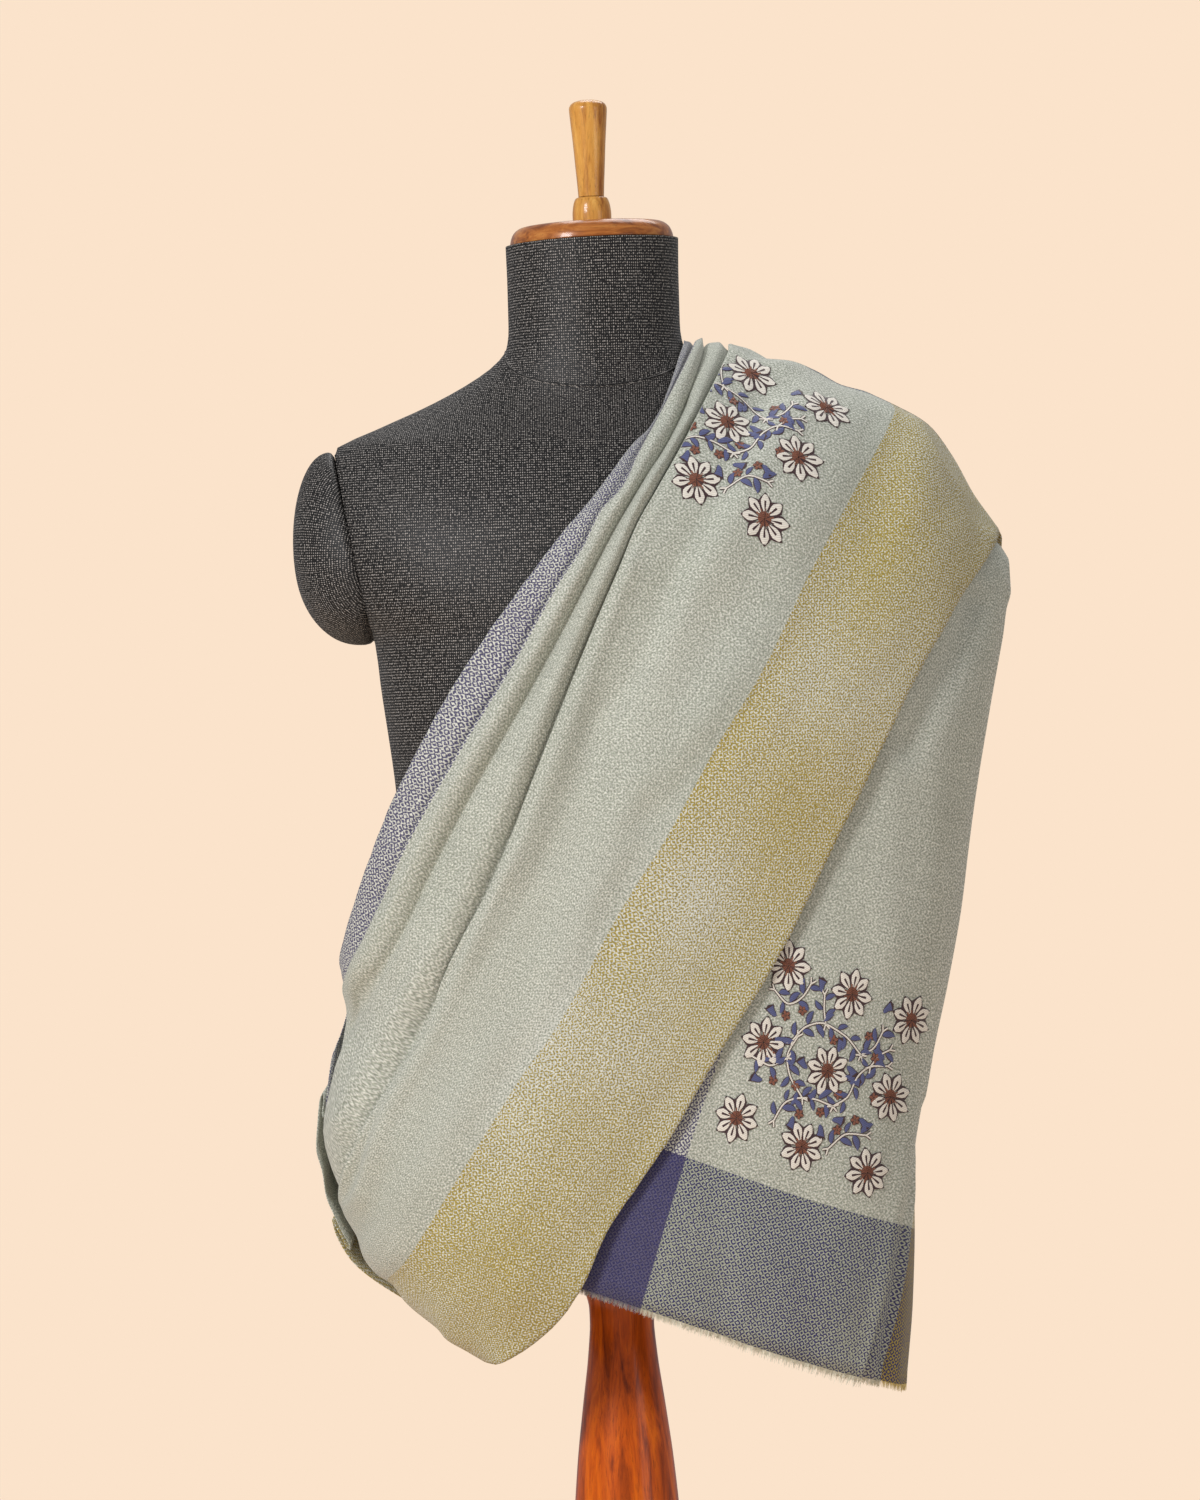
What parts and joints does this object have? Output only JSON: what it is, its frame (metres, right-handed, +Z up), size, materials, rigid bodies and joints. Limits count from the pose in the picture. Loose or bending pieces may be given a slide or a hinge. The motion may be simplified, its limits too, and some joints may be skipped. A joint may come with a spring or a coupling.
{
  "type": "draped pashmina shawl on a limbless dress form",
  "caption": "Fine wool shawl worn over one shoulder like a sash, in soft pleats with a woven striped border, on a plain black dress form with a turned wooden stand.",
  "frame": {"origin": "centre of the stand base's underside, on the pole's axis", "axes": "+Z up the pole, -Y to the front of the form, +X to the side whose shoulder carries the shawl, the picture's right"},
  "size_m": [0.5008, 0.34, 1.5583],
  "materials": {
    "sage_pashmina": "fine matt twill wool",
    "black_knit": "tight black jersey over a hard form",
    "honey_wood": "satin varnished honey-coloured wood",
    "red_brown_wood": "glossy varnished red-brown turned wood"
  },
  "bodies": {
    "root": {"form_torso": "black_knit", "form_arm_cap_left": "black_knit", "form_arm_cap_right": "black_knit", "neck_cap": "honey_wood", "handle_bulb": "honey_wood", "neck_handle": "honey_wood", "stand_flange": "red_brown_wood", "stand_pole": "red_brown_wood", "stand_base": "red_brown_wood", "shawl_front_sash": "sage_pashmina", "shawl_back_stretch": "sage_pashmina", "shawl_hanging_end": "sage_pashmina", "shawl_shoulder_end": "sage_pashmina", "fringe_hanging_front": "sage_pashmina", "fringe_hanging_inner": "sage_pashmina", "fringe_shoulder_end": "sage_pashmina"}
  },
  "joints": []
}
